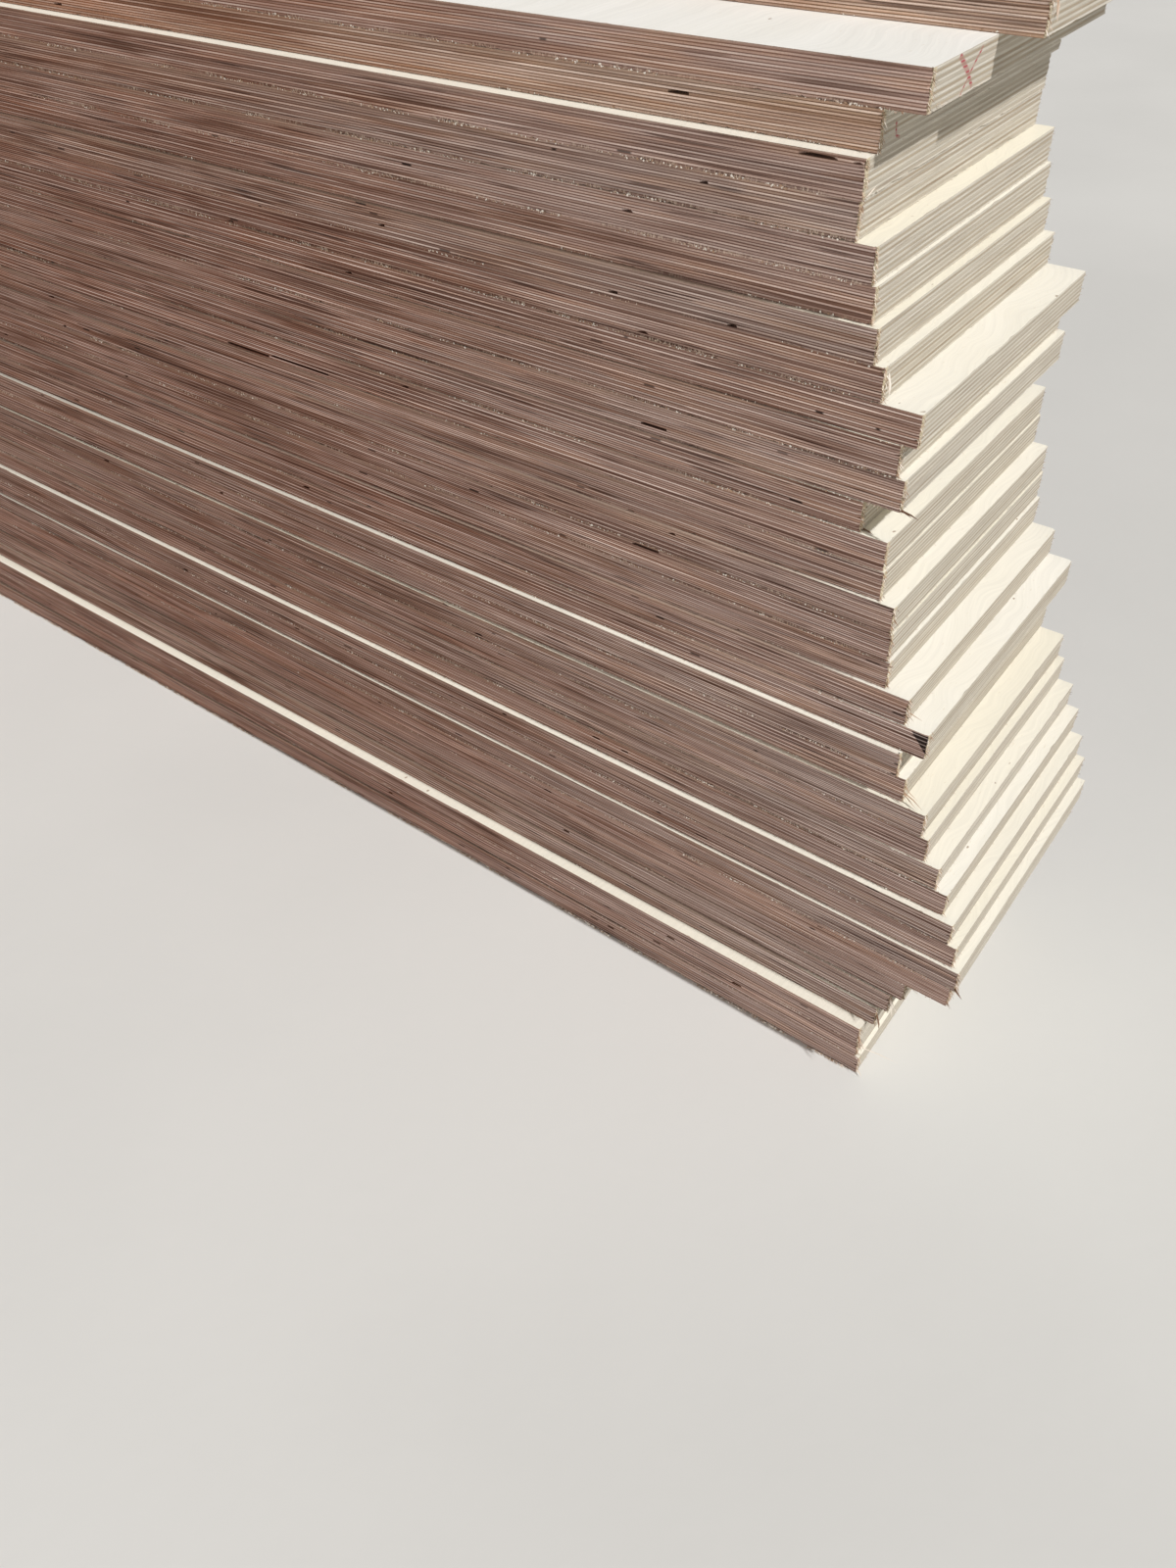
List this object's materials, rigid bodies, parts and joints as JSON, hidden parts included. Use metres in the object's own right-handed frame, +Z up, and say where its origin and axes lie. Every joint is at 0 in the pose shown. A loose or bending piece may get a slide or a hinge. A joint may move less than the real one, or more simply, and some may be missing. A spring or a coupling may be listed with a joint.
{
  "type": "stack of plywood sheets",
  "caption": "Hand-laid stack of long birch plywood strips, lying flat, with unevenly set ends and one top sheet set back.",
  "frame": {"origin": "bottom centre of the stack's bounding box, on the surface it lies on", "axes": "+X along the strips towards the uneven ends, +Y across the strips towards the side that the top sheet is set back to, +Z up"},
  "size_m": [2.6452, 0.331, 0.648],
  "materials": {
    "plywood": "matt, raw sawn edges and unsanded veneer faces"
  },
  "bodies": {
    "root": {"sheet_01": "plywood", "sheet_02": "plywood", "sheet_03": "plywood", "sheet_04": "plywood", "sheet_05": "plywood", "sheet_06": "plywood", "sheet_07": "plywood", "sheet_08": "plywood", "sheet_09": "plywood", "sheet_10": "plywood", "sheet_11": "plywood", "sheet_12": "plywood", "sheet_13": "plywood", "sheet_14": "plywood", "sheet_15": "plywood", "sheet_16": "plywood", "sheet_17": "plywood", "sheet_18": "plywood", "sheet_19": "plywood", "sheet_20": "plywood", "sheet_21": "plywood", "sheet_22": "plywood", "sheet_23": "plywood", "sheet_24": "plywood", "sheet_25": "plywood", "sheet_26": "plywood", "sheet_27": "plywood", "sheet_28": "plywood", "sheet_29": "plywood", "sheet_30": "plywood", "sheet_31": "plywood", "sheet_32": "plywood", "sheet_33": "plywood", "sheet_34": "plywood", "sheet_35": "plywood", "sheet_36": "plywood"}
  },
  "joints": []
}
